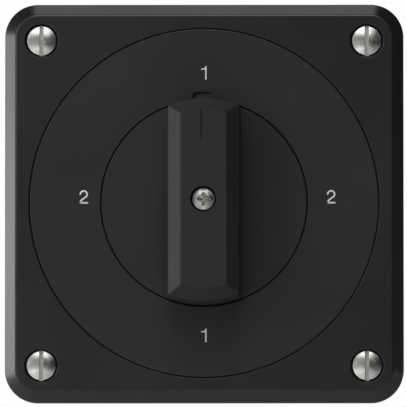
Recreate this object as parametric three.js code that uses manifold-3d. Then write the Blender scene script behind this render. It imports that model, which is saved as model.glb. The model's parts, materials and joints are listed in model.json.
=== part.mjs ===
// Rotary battery changeover switch for flush mounting in a panel: a square cover plate, a round legend
// disc, a knob with a bar handle, and behind the panel a sealed mechanism with four threaded terminals.
// Millimetres. The knob's axis is the local z axis, pointing at the person who turns it, with y up, and
// z = 0 is the panel's front face. The group is turned at the end, so that the front looks along -Y, +Z up.
import * as THREE from "three";
import { mergeVertices } from "three/addons/utils/BufferGeometryUtils.js";
import Module from "manifold-3d";

const wasm = await Module();
wasm.setup();

// ---------------------------------------------------------------- driving dimensions

// Fits
const seat = 0.05; // between faces that rest on each other
const slip = 0.15; // round a piece that sits still in a hole
const running = 0.3; // between pieces that turn or slide past each other
const journalPlay = 0.08; // radial, spindle in its bush

// Cover plate
const plateSize = 92;
const plateThickness = 6.5;
const plateCorner = 7.6;
const chamferWidth = 2.6;
const chamferDepth = 2.7;
const frameWidth = 5.6; // plate edge to the round opening
const faceSkin = 2.6; // moulded wall behind the plate's face
const edgeWall = 2.4;
const ledgeWidth = 2.5; // step that carries the legend disc
const cornerHollow = 8.6; // reach of the hollow round each corner boss, from the screw's axis

// Flange gasket
const gasketThickness = 1.5;
const gasketInset = 0.5;

// Corner screws, slotted pan head
const cornerScrewInset = 8.5; // screw axis to the plate's edge
const cornerScrewRadius = 1.75;
const cornerScrewLength = 25;
const cornerHeadRadius = 3.5;
const cornerHeadHeight = 2.1;
const cornerHeadDome = 0.35;
const cornerHeadSink = 0.3; // highest point of the head below the plate's face
const cornerSlotWidth = 1;
const cornerSlotDepth = 1.1;
const cornerHoleRoom = 0.25; // round the shank
const counterboreRoom = 0.35; // round the head
const cornerBossWall = 1.75;

// Legend disc
const legendGap = 0.25; // round the disc, and round the knob in it
const legendRim = 2.6;
const legendFloor = 2;
const pocketWall = 2.4;
const notchWidth = 4.2;
const notchHeight = 1.6;
const notchDepth = 1.3;
const notchOffset = -0.4; // the two marks stand a little left of the axis
const grooveOffset = -0.45;

// Knob
const knobMargin = 6.3; // knob's edge to the tie screws' holes
const knobDiscThickness = 3.15;
const knobProud = 0.3;
const handleHeight = 16.65; // disc face to crest
const handleBaseWidth = 16.8;
const handleDraft = 0.3; // how far each side leans in below the chamfer
const handleEndInset = 0.15; // each end from the disc's edge
const handleChamferWidth = 2.85;
const handleChamferDepth = 3.2;
const handleWall = 2.6;
const handleRib = 2; // moulding rib along the hollow handle
const grooveWidth = 0.45;
const grooveLength = 6.5; // along the crest, from its upper end
const grooveStartDepth = 0.25;
const grooveDepth = 0.5; // at the crest's end
const socketWall = 2.4;
const knobWeb = 2.5; // between the screw's seat and the spindle's end

// Knob screw, cross-recessed pan head
const knobScrewRadius = 1.5;
const knobScrewLength = 10;
const knobHeadRadius = 2.6;
const knobHeadHeight = 2;
const knobHeadDome = 0.3;
const knobHeadSink = 1.2; // below the crest
const knobHeadRoom = 0.3; // round the head
const knobRecess = { reach: 1.5, width: 0.7, depth: 1.2 };

// Spindle and what it runs in
const spindleSquareFront = 7;
const spindleSquareRear = 8;
const journalRadius = 5;
const pilotRadius = 2.5; // rear tip, which centres the bridge
const collarRadius = 7;
const collarThickness = 1.9;
const bushWall = 1.6;
const thrustWasherThickness = 0.5;
const thrustWasherLap = 1; // washer beyond the collar
const sealRingRadius = 1; // section of the spindle's seal ring
const sealRingSides = 10;
const sealRingFacets = 32;
const neckWall = 1.5;
const neckSetback = 0.5; // neck behind the floor of the knob's pocket

// Detent
const starThickness = 4.6;
const starValleyRadius = 9.2;
const starLobeRadius = 12;
const starFacets = 72;
const leafThickness = 0.6;
const leafWidth = 4;
const leafHalfLength = 17.5;
const leafClearance = 1; // flat of the leaf to the wheel's lobes
const bumpHalfLength = 4.5;
const bumpFacets = 12;
const postSize = 4.4;
const postGrip = 2.5; // length of leaf held in each post
const postEnd = 1.5; // post beyond the leaf's end

// Rotor and bridge
const rotorHeight = 11.7;
const rotorHubRadius = 8;
const rotorPlate = 4;
const rotorBarWidth = 20;
const rotorBarStep = 1.2; // hub in front of the bar
const rotorRoom = 1.2; // rotor's edge to the tie screws' bosses
const bridgeThickness = 3;
const bridgeWidth = 12.8;
const bridgeInset = 0.5; // bridge's ends inside the rotor's edge
const bridgeProud = 1; // bridge beyond the rotor's back face
const bridgeTravel = 0.8; // how far the bridge can be pushed in
const bridgeSpare = 0.2; // left in front of the bridge at full travel
const springCoilRadius = 2.9;
const springWireRadius = 0.45;
const springTurns = 4.5;
const springSteps = 54;
const springPlace = 14;
const springPocketDepth = 6;

// Housing and contact base
const housingWall = 2.4;
const housingFrontWall = 3;
const flangeLap = 2.95; // flange behind the plate's ledge
const tieScrewRadius = 1.75;
const tieHeadRadius = 3.2;
const tieHeadHeight = 2.2;
const tieHeadDome = 0.1;
const tieRecess = { reach: 1.8, width: 0.8, depth: 1.3 };
const tieBossWall = 1.7;
const tieRimWall = 0.85; // base outside the tie screws' heads
const tieTipRoom = 0.4; // in front of a tie screw's tip
const legendBossWall = 2;
const legendBossGap = 2.15; // legend boss to the plate's ledge
const legendSkin = 1.2; // left in front of the tie screws
const rimSealThickness = 0.9;
const baseThickness = 6;
const barrierThickness = 2.5;
const barrierHeight = 16;

// Terminals
const studRadius = 4;
const studHeadAcross = 13;
const studHeadThickness = 2.9;
const studHeadInset = 0.5; // head's flat to the bridge's end
const studProud = 0.45; // contact face beyond the base
const studTail = 20; // beyond the base's back face
const studTipChamfer = 0.8;
const studFit = 0.05; // shank inside the thread's nominal size
const washerRadius = 8;
const washerThickness = 1.6;
const lockWasherRadius = 7.4;
const lockWasherThickness = 2;
const lockWasherSplit = 1.6;
const nutAcross = 13;
const nutThickness = 6.5;
const linkWidth = 15;
const linkThickness = 2;

// ---------------------------------------------------------------- sizes that follow from them

const openingRadius = plateSize / 2 - frameWidth;
const legendRadius = openingRadius - legendGap;
const ledgeRadius = openingRadius - ledgeWidth;
const flangeRadius = ledgeRadius + flangeLap;
const cornerScrewPlace = plateSize / 2 - cornerScrewInset;
const cornerHoleRadius = cornerScrewRadius + cornerHoleRoom;
const counterboreRadius = cornerHeadRadius + counterboreRoom;
const cornerBossRadius = counterboreRadius + cornerBossWall;

// The mechanism fills the plate's opening, from the tie screws inwards.
const tieHoleRadius = tieScrewRadius + slip;
const tieBossRadius = tieHoleRadius + tieBossWall;
const legendBossRadius = tieHoleRadius + legendBossWall;
const tiePlace = ledgeRadius - legendBossGap - legendBossRadius;
const bodyRadius = tiePlace + tieHeadRadius + slip + tieRimWall;
const knobRadius = tiePlace - tieHoleRadius - knobMargin;
const pocketRadius = knobRadius + legendGap;
const rotorRadius = tiePlace - tieBossRadius - rotorRoom;
const bridgeReach = rotorRadius - bridgeInset;
const studPlace = bridgeReach - studHeadInset - studHeadAcross / 2;
const boltHole = studRadius + slip;
const barrierHub = studPlace / Math.SQRT2 - linkWidth / 2 - running; // clears the link's edge

// The spindle's bearing and the housing's neck round it
const bushInner = journalRadius + journalPlay;
const bushOuter = bushInner + bushWall;
const neckRadius = bushOuter + neckWall;
const sealSeatRadius = journalRadius + 2 * sealRingRadius + 3 * seat;
const leafPlace = starLobeRadius + leafClearance + leafThickness / 2;

// Heights along the axis, front to back
const plateBack = gasketThickness + seat;
const face = plateBack + plateThickness;
const cornerSeat = face - cornerHeadSink - cornerHeadHeight;
const legendBack = face - legendRim;
const ledgeFront = legendBack - seat;
const knobFace = face + knobProud;
const knobBack = knobFace - knobDiscThickness;
const crest = knobFace + handleHeight;
const shoulder = crest - handleChamferDepth;
const pocketFloor = knobBack - running;
const legendFloorBack = pocketFloor - legendFloor;
const knobScrewSeat = crest - knobHeadSink - knobHeadHeight;
const socketEnd = knobScrewSeat - seat - knobWeb;
const spindleFront = socketEnd - running;
const neckFront = pocketFloor - neckSetback;
const housingFront = gasketThickness;
const housingInside = housingFront - housingFrontWall;
const bushFront = neckFront - 2 * sealRingRadius - seat;
const thrustFront = housingInside - seat;
const collarFront = thrustFront - thrustWasherThickness - 2 * seat;
const collarBack = collarFront - collarThickness;
const starFront = collarBack - seat;
const starBack = starFront - starThickness;
const leafMiddle = (starFront + starBack) / 2;
const rotorFront = starBack - seat;
const rotorBack = rotorFront - rotorHeight;
const bridgeBack = rotorBack - bridgeProud;
const bridgeFront = bridgeBack + bridgeThickness;
const slotFloor = bridgeFront + bridgeTravel + bridgeSpare;
const studFace = bridgeBack - 2 * seat;
const baseFront = studFace - studProud;
const baseBack = baseFront - baseThickness;
const housingRim = baseFront + rimSealThickness + 2 * seat;
const tieSeat = baseBack + tieHeadHeight + seat;

const through = 1; // how far a cutting tool runs past the face it cuts
const root = 1; // how far a joined piece runs into the one that carries it
const studNames = ["common_b", "bank_1", "bank_2", "common_a"]; // at 0, 90, 180 and 270 degrees
const barrierAngles = [45, 135, 225]; // none between the two common studs, which the link joins

// ---------------------------------------------------------------- materials

const finish = (color, roughness, metalness = 0) =>
  new THREE.MeshStandardMaterial({ color, roughness, metalness });
const blackPlastic = finish(0x232524, 0.45);
const housingPlastic = finish(0x1c1d1e, 0.6);
const basePlastic = finish(0x2b1d16, 0.55);
const rotorPlastic = finish(0xd8d3c6, 0.5);
const rubber = finish(0x161616, 0.85);
const stainless = finish(0xc9c8c3, 0.25, 1);
const springSteel = finish(0x9a9a98, 0.3, 1);
const bronze = finish(0xa9793f, 0.4, 1);
const copper = finish(0xc47a55, 0.3, 1);
const tinnedBrass = finish(0xbfb9a6, 0.3, 1);

// ---------------------------------------------------------------- solids

// A closed three.js geometry as a solid that can be joined and cut.
function solid(geometry) {
  const plain = geometry.index ? geometry.toNonIndexed() : geometry.clone();
  plain.deleteAttribute("normal");
  plain.deleteAttribute("uv");
  const merged = mergeVertices(plain, 1e-4);
  const vertProperties = merged.attributes.position.array;
  const triVerts = new Uint32Array(merged.index.array);
  return new wasm.Manifold(new wasm.Mesh({ numProp: 3, vertProperties, triVerts }));
}

// A solid as a named mesh with its material.
function piece(name, made, material) {
  const { vertProperties, triVerts } = made.getMesh();
  const geometry = new THREE.BufferGeometry();
  geometry.setAttribute("position", new THREE.BufferAttribute(vertProperties, 3));
  geometry.setIndex(new THREE.BufferAttribute(triVerts, 1));
  geometry.computeVertexNormals();
  const mesh = new THREE.Mesh(geometry, material);
  mesh.name = name;
  return mesh;
}

const joined = (first, ...others) => others.reduce((made, other) => made.add(other), first);
const cut = (first, ...others) => others.reduce((made, other) => made.subtract(other), first);

// More facets on a larger circle, always a multiple of four.
const facets = (radius) => Math.min(96, 4 * Math.round(0.6 * radius + 3));

// A solid of revolution about z, from its [radius, z] outline, which is closed here.
function turned(outline, count) {
  const area = outline.reduce((sum, [r, z], i) => {
    const [nextR, nextZ] = outline[(i + 1) % outline.length];
    return sum + r * nextZ - nextR * z;
  }, 0);
  const ordered = area > 0 ? outline : [...outline].reverse();
  const points = [...ordered, ordered[0]].map(([r, z]) => new THREE.Vector2(r, z));
  const widest = Math.max(...outline.map(([r]) => r));
  return solid(new THREE.LatheGeometry(points, count ?? facets(widest)).rotateX(Math.PI / 2));
}

function rod(radius, from, to, x = 0, y = 0) {
  const geometry = new THREE.CylinderGeometry(radius, radius, Math.abs(to - from), facets(radius));
  return solid(geometry.rotateX(Math.PI / 2).translate(x, y, (from + to) / 2));
}

const ring = (inner, outer, from, to) =>
  turned([[inner, from], [outer, from], [outer, to], [inner, to]]);

// An outline in the xy plane, pulled from one height to another.
function prism(shape, from, to, curveSegments = 6) {
  const depth = Math.abs(to - from);
  const geometry = new THREE.ExtrudeGeometry(shape, { depth, bevelEnabled: false, curveSegments });
  return solid(geometry.translate(0, 0, Math.min(from, to)));
}

// A box between two limits on each axis, given in either order.
function block(x0, x1, y0, y1, z0, z1) {
  const [dx, dy, dz] = [x1 - x0, y1 - y0, z1 - z0].map(Math.abs);
  const geometry = new THREE.BoxGeometry(dx, dy, dz);
  return solid(geometry.translate((x0 + x1) / 2, (y0 + y1) / 2, (z0 + z1) / 2));
}

const squareRod = (across, from, to) => block(-across / 2, across / 2, -across / 2, across / 2, from, to);

// An outline at the top that grows by spread on its way down, so its sides slope.
function sloped(shape, spread, bottom, top) {
  const geometry = new THREE.ExtrudeGeometry(shape, {
    depth: root,
    bevelThickness: top - bottom,
    bevelSize: spread,
    bevelSegments: 1,
    curveSegments: 6,
  });
  const doubled = solid(geometry.translate(0, 0, bottom - root));
  return doubled.intersect(block(-plateSize, plateSize, -plateSize, plateSize, bottom, top + through));
}

function roundedSquare(size, corner) {
  const middle = size / 2 - corner;
  const shape = new THREE.Shape();
  shape.absarc(middle, middle, corner, 0, Math.PI / 2);
  shape.absarc(-middle, middle, corner, Math.PI / 2, Math.PI);
  shape.absarc(-middle, -middle, corner, Math.PI, 1.5 * Math.PI);
  shape.absarc(middle, -middle, corner, 1.5 * Math.PI, 2 * Math.PI);
  return shape;
}

// A bar of a given width whose two ends are arcs about the axis.
function roundEndedBar(width, reach) {
  const corner = Math.acos(width / 2 / reach);
  const shape = new THREE.Shape();
  shape.absarc(0, 0, reach, corner, Math.PI - corner);
  shape.absarc(0, 0, reach, Math.PI + corner, 2 * Math.PI - corner);
  return shape;
}

function hexagon(across) {
  const corners = Array.from({ length: 6 }, (_, i) => {
    const angle = (i * Math.PI) / 3;
    return new THREE.Vector2(Math.cos(angle), Math.sin(angle)).multiplyScalar(across / Math.sqrt(3));
  });
  return new THREE.Shape(corners);
}

// Four places on a circle, a quarter turn apart, starting from an angle in degrees.
const fourAround = (radius, start) =>
  [0, 1, 2, 3].map((i) => {
    const angle = THREE.MathUtils.degToRad(start + 90 * i);
    return [radius * Math.cos(angle), radius * Math.sin(angle)];
  });

const tiePlaces = fourAround(tiePlace, 45);
const studPlaces = fourAround(studPlace, 0);
const cornerPlaces = fourAround(cornerScrewPlace * Math.SQRT2, 45);

// ---------------------------------------------------------------- screws

const tipChamfer = 0.5;
const headRound = 0.3; // where a head's side turns into its dome

// A screw with its seat at a height and its head in front of it.
function screw(shankRadius, length, headRadius, headHeight, dome, seatHeight) {
  const top = seatHeight + headHeight;
  const tip = seatHeight - length;
  return turned([
    [0, tip],
    [shankRadius - tipChamfer, tip],
    [shankRadius, tip + tipChamfer],
    [shankRadius, seatHeight],
    [headRadius, seatHeight],
    [headRadius, top - dome - headRound],
    [headRadius - headRound, top - dome],
    [headRadius / 2, top - dome / 4],
    [0, top],
  ]);
}

// What a cross-head driver fits: two crossed slots of a given reach, width and depth.
function crossRecess(top, { reach, width, depth }) {
  const half = width / 2;
  const wide = block(-reach, reach, -half, half, top - depth, top + through);
  return wide.add(block(-half, half, -reach, reach, top - depth, top + through));
}

function cornerScrew(x, y) {
  const top = cornerSeat + cornerHeadHeight;
  const half = cornerSlotWidth / 2;
  const reach = cornerHeadRadius + through;
  const slot = block(-half, half, -reach, reach, top - cornerSlotDepth, top + through);
  const plain = screw(
    cornerScrewRadius,
    cornerScrewLength,
    cornerHeadRadius,
    cornerHeadHeight,
    cornerHeadDome,
    cornerSeat,
  );
  return plain.subtract(slot).translate(x, y, 0);
}

function knobScrew() {
  const recess = crossRecess(knobScrewSeat + knobHeadHeight, knobRecess);
  const plain = screw(
    knobScrewRadius,
    knobScrewLength,
    knobHeadRadius,
    knobHeadHeight,
    knobHeadDome,
    knobScrewSeat,
  );
  return plain.subtract(recess);
}

// A tie screw pulls the base, the housing and the legend disc together, with its head at the back.
function tieScrew(x, y) {
  const length = face - legendSkin - tieTipRoom - tieSeat;
  const recess = crossRecess(tieHeadHeight, tieRecess);
  const plain = screw(tieScrewRadius, length, tieHeadRadius, tieHeadHeight, tieHeadDome, 0);
  return plain.subtract(recess).rotate(180, 0, 0).translate(x, y, tieSeat - seat);
}

// ---------------------------------------------------------------- front of the panel

// A moulded frame with a sloping edge, a stepped round opening and a hollow round each corner boss.
function coverPlate() {
  const top = roundedSquare(plateSize - 2 * chamferWidth, plateCorner - chamferWidth);
  const edge = prism(roundedSquare(plateSize, plateCorner), plateBack, face - chamferDepth);
  const slab = edge.add(sloped(top, chamferWidth, face - chamferDepth, face));
  const opening = rod(openingRadius, ledgeFront, face + through);
  const throat = rod(ledgeRadius, plateBack - through, face);
  const nearEdge = plateSize / 2 - edgeWall;
  const nearMiddle = cornerScrewPlace - cornerHollow;
  return cornerPlaces.reduce((plate, [x, y]) => {
    const [sideX, sideY] = [Math.sign(x), Math.sign(y)];
    const hollow = cut(
      block(
        sideX * nearMiddle,
        sideX * nearEdge,
        sideY * nearMiddle,
        sideY * nearEdge,
        plateBack - through,
        face - faceSkin,
      ),
      rod(openingRadius + edgeWall, plateBack - through, face),
      rod(cornerBossRadius, plateBack - through, face, x, y),
    );
    const hole = rod(cornerHoleRadius, plateBack - through, face, x, y);
    const counterbore = rod(counterboreRadius, cornerSeat - seat, face + through, x, y);
    return cut(plate, hollow, hole, counterbore);
  }, cut(slab, opening, throat));
}

function flangeGasket() {
  const outline = roundedSquare(plateSize - 2 * gasketInset, plateCorner - gasketInset);
  const holes = cornerPlaces.map(([x, y]) =>
    rod(cornerHoleRadius, -through, gasketThickness + through, x, y),
  );
  const middle = rod(flangeRadius + running, -through, gasketThickness + through);
  return cut(prism(outline, 0, gasketThickness), middle, ...holes);
}

// A flush disc with a pocket for the knob in front and a boss for each tie screw behind.
function legendDisc() {
  const neckHole = neckRadius + running;
  const disc = turned([
    [neckHole, legendFloorBack],
    [pocketRadius + pocketWall, legendFloorBack],
    [pocketRadius + pocketWall, legendBack],
    [legendRadius, legendBack],
    [legendRadius, face],
    [pocketRadius, face],
    [pocketRadius, pocketFloor],
    [neckHole, pocketFloor],
  ]);
  const bosses = tiePlaces.map(([x, y]) =>
    rod(legendBossRadius, housingFront + seat, legendBack + root, x, y),
  );
  const pilots = tiePlaces.map(([x, y]) => rod(tieHoleRadius, 0, face - legendSkin, x, y));
  const notch = block(
    notchOffset - notchWidth / 2,
    notchOffset + notchWidth / 2,
    pocketRadius - root,
    pocketRadius + notchHeight,
    face - notchDepth,
    face + through,
  );
  return cut(joined(disc, ...bosses), ...pilots, notch);
}

// A disc with a bar handle across it, whose sides lean in and end in a chamfer all round the crest.
function knob() {
  const shoulderWidth = handleBaseWidth - 2 * handleDraft;
  const shoulderReach = knobRadius - handleEndInset - handleDraft;
  const crestReach = shoulderReach - handleChamferWidth;
  const crestBar = roundEndedBar(shoulderWidth - 2 * handleChamferWidth, crestReach);
  const grip = joined(
    rod(knobRadius, knobBack, knobFace),
    sloped(roundEndedBar(shoulderWidth, shoulderReach), handleDraft, knobFace - root, shoulder),
    sloped(crestBar, handleChamferWidth, shoulder, crest),
  );
  const socketHalf = spindleSquareFront / 2 + slip;
  const hollowHalf = shoulderWidth / 2 - handleWall;
  const hollows = [];
  for (const end of [1, -1])
    for (const side of [1, -1])
      hollows.push(
        block(
          (side * handleRib) / 2,
          side * hollowHalf,
          end * (socketHalf + socketWall),
          end * (crestReach - handleWall),
          knobBack - through,
          shoulder - handleWall,
        ),
      );
  return cut(
    grip,
    ...hollows,
    squareRod(2 * socketHalf, knobBack - through, socketEnd),
    rod(knobScrewRadius + slip, socketEnd - through, crest),
    rod(knobHeadRadius + knobHeadRoom, knobScrewSeat - seat, crest + through),
    pointerGroove(crestReach),
  );
}

// A slot along the crest to its upper end, whose floor slopes down on the way.
function pointerGroove(crestReach) {
  const side = [
    [crestReach - grooveLength, crest - grooveStartDepth],
    [crestReach, crest - grooveDepth],
    [knobRadius, crest - grooveDepth],
    [knobRadius, crest + through],
    [crestReach - grooveLength, crest + through],
  ].map(([y, z]) => new THREE.Vector2(y, z));
  const left = grooveOffset - grooveWidth / 2;
  return prism(new THREE.Shape(side), left, left + grooveWidth).rotate(90, 0, 90);
}

// ---------------------------------------------------------------- spindle and its bearing

// Squares at both ends turn the knob's torque into the wheel and the rotor; the front end is tapped.
function spindle() {
  return joined(
    rod(pilotRadius, bridgeBack + seat, slotFloor + root),
    squareRod(spindleSquareRear, slotFloor, collarBack + root),
    rod(collarRadius, collarBack, collarFront),
    rod(journalRadius, collarFront - root, knobBack - seat),
    squareRod(spindleSquareFront, knobBack - root, spindleFront),
  ).subtract(rod(knobScrewRadius + slip, knobScrewSeat - knobScrewLength - root, spindleFront + through));
}

const spindleBush = () => ring(bushInner, bushOuter, housingInside, bushFront);

function spindleSeal() {
  const middle = neckFront - sealRingRadius;
  const centre = journalRadius + 2 * seat + sealRingRadius;
  const section = Array.from({ length: sealRingSides }, (_, i) => {
    const angle = (i * 2 * Math.PI) / sealRingSides;
    return [centre + sealRingRadius * Math.cos(angle), middle + sealRingRadius * Math.sin(angle)];
  });
  return turned(section, sealRingFacets);
}

const thrustWasher = () =>
  ring(
    journalRadius + running,
    collarRadius + thrustWasherLap,
    thrustFront - thrustWasherThickness,
    thrustFront,
  );

// ---------------------------------------------------------------- detent

// Four lobes and four valleys: the radius follows a cosine round the wheel.
function starWheel() {
  const middle = (starLobeRadius + starValleyRadius) / 2;
  const swing = (starLobeRadius - starValleyRadius) / 2;
  const points = Array.from({ length: starFacets }, (_, i) => {
    const angle = (i * 2 * Math.PI) / starFacets;
    const radius = middle - swing * Math.cos(4 * angle);
    return new THREE.Vector2(radius * Math.cos(angle), radius * Math.sin(angle));
  });
  const wheel = prism(new THREE.Shape(points), starBack, starFront);
  return wheel.subtract(squareRod(spindleSquareRear + 2 * slip, starBack - through, starFront + through));
}

// A flat leaf beside the wheel, with a rounded bump in the middle that rests in one of the valleys.
function detentSpring(side) {
  const bump = leafPlace - leafThickness / 2 - seat - starValleyRadius;
  const along = (y) => Math.min(Math.abs(y) / bumpHalfLength, 1);
  const bow = (y) => (bump / 2) * (1 + Math.cos(Math.PI * along(y)));
  const step = (2 * bumpHalfLength) / bumpFacets;
  const stations = Array.from({ length: bumpFacets + 1 }, (_, i) => i * step - bumpHalfLength);
  const line = [-leafHalfLength, ...stations, leafHalfLength];
  const faceAt = (offset) => line.map((y) => new THREE.Vector2(side * (leafPlace + offset - bow(y)), y));
  const outline = [...faceAt(-leafThickness / 2), ...faceAt(leafThickness / 2).reverse()];
  return prism(new THREE.Shape(outline), leafMiddle - leafWidth / 2, leafMiddle + leafWidth / 2);
}

// ---------------------------------------------------------------- rotor

// A bar on a round plate, slotted across the back for the bridge, with a pocket for each spring.
function rotorCarrier() {
  const slot = roundEndedBar(bridgeWidth + 2 * running, rotorRadius + through);
  const pocketSize = springCoilRadius + springWireRadius + running;
  const pockets = [springPlace, -springPlace].map((y) =>
    rod(pocketSize, slotFloor - through, slotFloor + springPocketDepth, 0, y),
  );
  return cut(
    joined(
      rod(rotorRadius, rotorBack, rotorBack + rotorPlate),
      prism(roundEndedBar(rotorBarWidth, rotorRadius), rotorBack, rotorFront - rotorBarStep),
      rod(rotorHubRadius, rotorBack, rotorFront),
    ),
    prism(slot, rotorBack - through, slotFloor),
    squareRod(spindleSquareRear + 2 * slip, slotFloor - through, rotorFront + through),
    ...pockets,
  );
}

// A bar that joins two opposite studs, centred on the spindle's tip.
function contactBridge() {
  const bar = prism(roundEndedBar(bridgeWidth, bridgeReach), bridgeBack, bridgeFront);
  return bar.subtract(rod(pilotRadius + running, bridgeBack - through, bridgeFront + through));
}

class Helix extends THREE.Curve {
  constructor(radius, turns, from, to) {
    super();
    Object.assign(this, { radius, turns, from, to });
  }

  getPoint(t, target = new THREE.Vector3()) {
    const angle = 2 * Math.PI * this.turns * t;
    const z = this.from + (this.to - this.from) * t;
    return target.set(this.radius * Math.cos(angle), this.radius * Math.sin(angle), z);
  }
}

// A coil spring between the bridge and the end of its pocket.
function contactSpring(y) {
  const wire = new THREE.Shape().absarc(0, 0, springWireRadius, 0, 2 * Math.PI);
  const from = bridgeFront + springWireRadius + 2 * seat;
  const to = slotFloor + springPocketDepth - springWireRadius - 2 * seat;
  const extrudePath = new Helix(springCoilRadius, springTurns, from, to);
  const geometry = new THREE.ExtrudeGeometry(wire, { steps: springSteps, curveSegments: 3, extrudePath });
  return solid(geometry.translate(0, y, 0));
}

// ---------------------------------------------------------------- housing and contact base

// A cup with a flange that holds it against the plate's ledge and a neck for the bush and seal ring.
function mechanismHousing() {
  const inside = bodyRadius - housingWall;
  const shell = turned([
    [bushOuter + seat, housingInside],
    [inside, housingInside],
    [inside, housingRim],
    [bodyRadius, housingRim],
    [bodyRadius, 2 * seat],
    [flangeRadius, 2 * seat],
    [flangeRadius, housingFront],
    [neckRadius, housingFront],
    [neckRadius, neckFront],
    [sealSeatRadius, neckFront],
    [sealSeatRadius, bushFront],
    [bushOuter + seat, bushFront],
  ]);
  const bosses = tiePlaces.map(([x, y]) => rod(tieBossRadius, housingRim, housingInside + root, x, y));
  const holes = tiePlaces.map(([x, y]) =>
    rod(tieHoleRadius, housingRim - through, housingFront + through, x, y),
  );
  return cut(joined(shell, ...bosses, ...springPosts()), ...holes);
}

// Four posts, each with a slot that holds one end of a leaf spring.
function springPosts() {
  const slotHalf = leafThickness / 2 + slip;
  const slotFront = leafMiddle + leafWidth / 2 + slip;
  const posts = [];
  for (const side of [1, -1])
    for (const end of [1, -1]) {
      const post = block(
        side * (leafPlace - postSize / 2),
        side * (leafPlace + postSize / 2),
        end * (leafHalfLength - postGrip),
        end * (leafHalfLength + postEnd),
        starBack,
        housingInside + root,
      );
      const slot = block(
        side * (leafPlace - slotHalf),
        side * (leafPlace + slotHalf),
        end * (leafHalfLength - postGrip - through),
        end * (leafHalfLength + running),
        starBack - through,
        slotFront,
      );
      posts.push(post.subtract(slot));
    }
  return posts;
}

const rimSeal = () =>
  ring(bodyRadius - housingWall + 2 * seat, bodyRadius - 2 * seat, baseFront + seat, housingRim - seat);

// A disc with a hexagonal seat for each stud, and walls behind it that keep the cable lugs apart.
function contactBase() {
  const wallBack = baseBack - barrierHeight;
  const half = barrierThickness / 2;
  const walls = barrierAngles.map((angle) =>
    block(0, rotorRadius, -half, half, wallBack, baseBack + root).rotate(0, 0, angle),
  );
  const studSeats = studPlaces.flatMap(([x, y]) => [
    rod(boltHole, baseBack - through, baseFront + through, x, y),
    prism(hexagon(studHeadAcross + 2 * slip), studFace - studHeadThickness - seat, baseFront + through)
      .translate(x, y, 0),
  ]);
  const tieHoles = tiePlaces.flatMap(([x, y]) => [
    rod(tieHoleRadius, baseBack - through, baseFront + through, x, y),
    rod(tieHeadRadius + slip, baseBack - through, tieSeat, x, y),
  ]);
  return cut(
    joined(rod(bodyRadius, baseBack, baseFront), rod(barrierHub, wallBack, baseBack + root), ...walls),
    ...studSeats,
    ...tieHoles,
  );
}

// ---------------------------------------------------------------- terminals

// A hexagonal head, whose face is the contact, and a shank that stands out behind the base.
function terminalStud(x, y) {
  const tip = baseBack - studTail;
  const shankRadius = studRadius - studFit;
  const shank = turned([
    [0, tip],
    [shankRadius - studTipChamfer, tip],
    [shankRadius, tip + studTipChamfer],
    [shankRadius, studFace - root],
    [0, studFace - root],
  ]);
  const head = prism(hexagon(studHeadAcross), studFace - studHeadThickness, studFace);
  return head.add(shank).translate(x, y, 0);
}

// Washer, lock washer and nut, stacked on a stud behind whatever lies under them.
function terminalStack(name, x, y, under) {
  const washerFront = under - seat;
  const lockFront = washerFront - washerThickness - seat;
  const lockBack = lockFront - lockWasherThickness;
  const nutFront = lockBack - seat;
  const nutBack = nutFront - nutThickness;
  const washer = ring(boltHole, washerRadius, washerFront - washerThickness, washerFront);
  const halfSplit = lockWasherSplit / 2;
  const split = block(0, washerRadius, -halfSplit, halfSplit, lockBack - through, lockFront + through);
  const lockWasher = ring(boltHole, lockWasherRadius, lockBack, lockFront).subtract(split);
  const hole = rod(boltHole, nutBack - through, nutFront + through);
  const nut = prism(hexagon(nutAcross), nutBack, nutFront).subtract(hole);
  return [
    piece(`washer_${name}`, washer.translate(x, y, 0), stainless),
    piece(`lock_washer_${name}`, lockWasher.translate(x, y, 0), springSteel),
    piece(`nut_${name}`, nut.translate(x, y, 0), stainless),
  ];
}

// A flat bar with a hole at each end, which joins the two common studs.
function linkBar() {
  const [x0, y0] = studPlaces[studNames.indexOf("common_b")];
  const [x1, y1] = studPlaces[studNames.indexOf("common_a")];
  const half = Math.hypot(x1 - x0, y1 - y0) / 2;
  const outline = new THREE.Shape();
  outline.absarc(half, 0, linkWidth / 2, -Math.PI / 2, Math.PI / 2);
  outline.absarc(-half, 0, linkWidth / 2, Math.PI / 2, 1.5 * Math.PI);
  const front = baseBack - seat;
  const back = front - linkThickness;
  const holes = [half, -half].map((x) => rod(boltHole, back - through, front + through, x, 0));
  const angle = THREE.MathUtils.radToDeg(Math.atan2(y0 - y1, x0 - x1));
  return cut(prism(outline, back, front, 7), ...holes)
    .rotate(0, 0, angle)
    .translate((x0 + x1) / 2, (y0 + y1) / 2, 0);
}

// ---------------------------------------------------------------- assembly

const batterySwitch = new THREE.Group();

batterySwitch.add(
  piece("cover_plate", coverPlate(), blackPlastic),
  piece("flange_gasket", flangeGasket(), rubber),
  piece("legend_disc", legendDisc(), blackPlastic),
  piece("knob", knob(), blackPlastic),
  piece("knob_screw", knobScrew(), stainless),
  piece("spindle", spindle(), stainless),
  piece("spindle_bush", spindleBush(), bronze),
  piece("spindle_seal", spindleSeal(), rubber),
  piece("thrust_washer", thrustWasher(), bronze),
  piece("star_wheel", starWheel(), rotorPlastic),
  piece("detent_spring_right", detentSpring(1), springSteel),
  piece("detent_spring_left", detentSpring(-1), springSteel),
  piece("rotor_carrier", rotorCarrier(), rotorPlastic),
  piece("contact_spring_upper", contactSpring(springPlace), springSteel),
  piece("contact_spring_lower", contactSpring(-springPlace), springSteel),
  piece("contact_bridge", contactBridge(), copper),
  piece("mechanism_housing", mechanismHousing(), housingPlastic),
  piece("rim_seal", rimSeal(), rubber),
  piece("contact_base", contactBase(), basePlastic),
  piece("link_bar", linkBar(), copper),
);

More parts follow.
